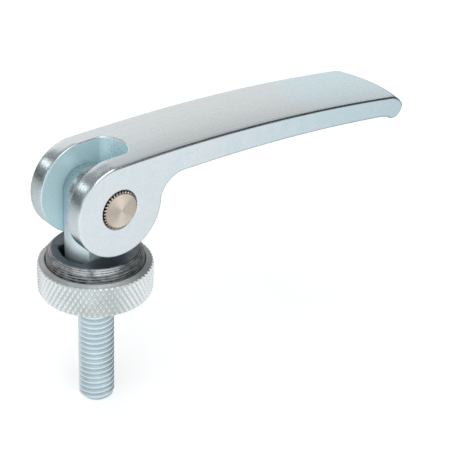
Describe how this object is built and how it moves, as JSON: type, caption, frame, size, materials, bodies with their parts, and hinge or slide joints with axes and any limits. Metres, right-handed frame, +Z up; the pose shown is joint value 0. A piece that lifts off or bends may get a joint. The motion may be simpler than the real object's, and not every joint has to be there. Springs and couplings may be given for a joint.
{
  "type": "eccentric cam lever",
  "caption": "Steel eccentric cam lever on a threaded eye bolt, with a contact plate and a knurled setting nut, for quick clamping and release.",
  "frame": {"origin": "centre of the setting nut's underside on the bolt's axis, where the stud leaves the nut", "axes": "+Z up along the bolt towards the lever, +X along the lever's arm in its clamped position, +Y along the pivot pin"},
  "size_m": [0.0737, 0.019, 0.0465],
  "materials": {
    "zinc_plated_lever": "zinc plated and blue passivated, faintly grained",
    "turned_pin_steel": "turned, straight knurled rim",
    "zinc_plated_bolt": "zinc plated and blue passivated",
    "blackened_plate_steel": "turned and blackened",
    "zinc_plated_nut": "zinc plated, diamond knurled"
  },
  "bodies": {
    "bolt": {"eye_bolt": "zinc_plated_bolt"},
    "lever": {"lever": "zinc_plated_lever", "pivot_pin": "turned_pin_steel"},
    "plate": {"contact_plate": "blackened_plate_steel"},
    "nut": {"setting_nut": "zinc_plated_nut"}
  },
  "joints": [
    {"name": "lever_swing", "type": "hinge", "parent": "bolt", "child": "lever", "pos_m": [0, 0, 0.0174], "axis": [0, -1, 0], "range_deg": [0, 110]},
    {"name": "nut_turn", "type": "hinge", "parent": "bolt", "child": "nut", "pos_m": [0, 0, 0], "axis": [0, 0, -1], "range_deg": [-900, 720]},
    {"name": "plate_lift", "type": "slide", "parent": "bolt", "child": "plate", "axis": [0, 0, 1], "range_m": [-0.00125, 0.001]}
  ],
  "couplings": [
    {"joint": "plate_lift", "follows": "nut_turn", "m_per_rad": 0.000079577}
  ]
}
